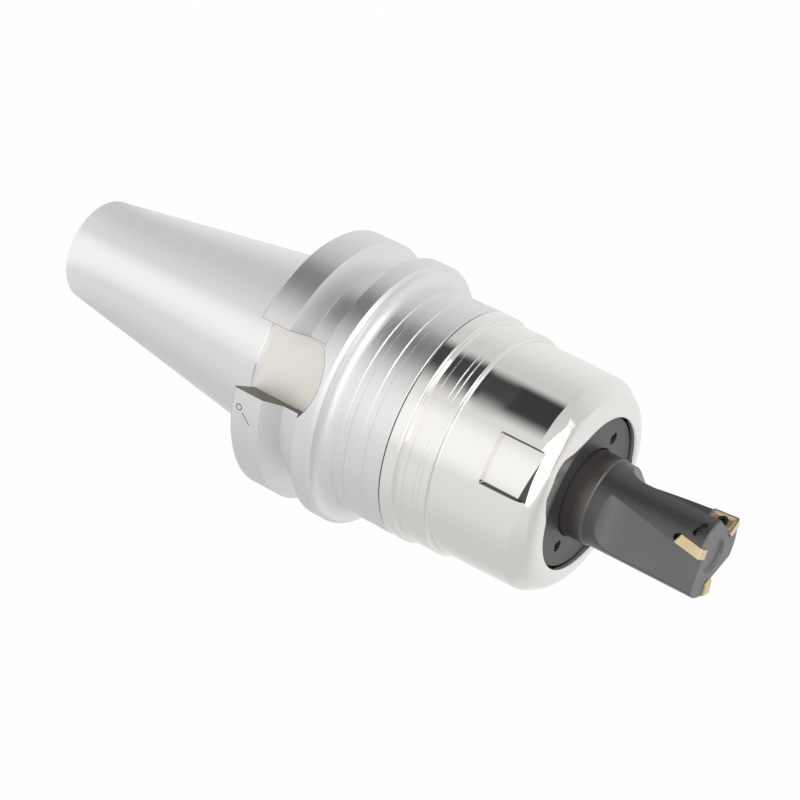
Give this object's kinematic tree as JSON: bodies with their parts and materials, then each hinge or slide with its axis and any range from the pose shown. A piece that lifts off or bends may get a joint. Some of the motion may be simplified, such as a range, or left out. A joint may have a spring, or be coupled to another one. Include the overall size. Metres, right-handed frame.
{
  "type": "milling chuck with end mill",
  "caption": "Power milling chuck with a steep-taper shank, grooved flange and a roller-backed clamping nut, holding an indexable end mill.",
  "frame": {"origin": "on the tool axis at the gauge line of the taper", "axes": "+Z along the tool axis towards the cutter, +X through the middle of one drive slot"},
  "size_m": [0.1, 0.1, 0.2716],
  "materials": {
    "ground_steel": "ground and fine turned",
    "polished_nut": "mirror polished",
    "dark_plate": "dark satin",
    "dark_tool_steel": "blackened",
    "gold_carbide": "coated carbide",
    "black_screw": "black oxide",
    "roller_steel": "ground",
    "spring_steel": "plain",
    "cage_brass": "machined",
    "seal_rubber": "matt"
  },
  "bodies": {
    "chuck": {"chuck_body": "ground_steel", "nut_stop_ring": "spring_steel", "cage_stop_ring": "spring_steel", "rear_seal_ring": "seal_rubber", "face_plate": "dark_plate", "face_plate_screw_1": "black_screw", "face_plate_screw_2": "black_screw", "cutter_body": "dark_tool_steel", "cutting_insert_1": "gold_carbide", "cutting_insert_2": "gold_carbide", "cutting_insert_3": "gold_carbide", "insert_screw_1": "black_screw", "insert_screw_2": "black_screw", "insert_screw_3": "black_screw"},
    "nut": {"clamping_nut": "polished_nut", "front_seal_ring": "seal_rubber"},
    "cage": {"roller_cage": "cage_brass", "needle_rollers": "roller_steel"},
    "stop": {"stop_screw": "spring_steel", "stop_screw_seal": "seal_rubber"}
  },
  "joints": [
    {"name": "nut_turn", "type": "hinge", "parent": "chuck", "child": "nut", "pos_m": [0, 0, 0.09], "axis": [0, 0, 1], "range_deg": [0, 400]},
    {"name": "cage_turn", "type": "hinge", "parent": "chuck", "child": "cage", "pos_m": [0, 0, 0.09], "axis": [0, 0, 1], "range_deg": [0, 215]},
    {"name": "stop_screw_travel", "type": "slide", "parent": "chuck", "child": "stop", "axis": [0, 0, 1], "range_m": [-0.011, 0]}
  ],
  "couplings": [
    {"joint": "cage_turn", "follows": "nut_turn", "ratio": 0.524}
  ]
}
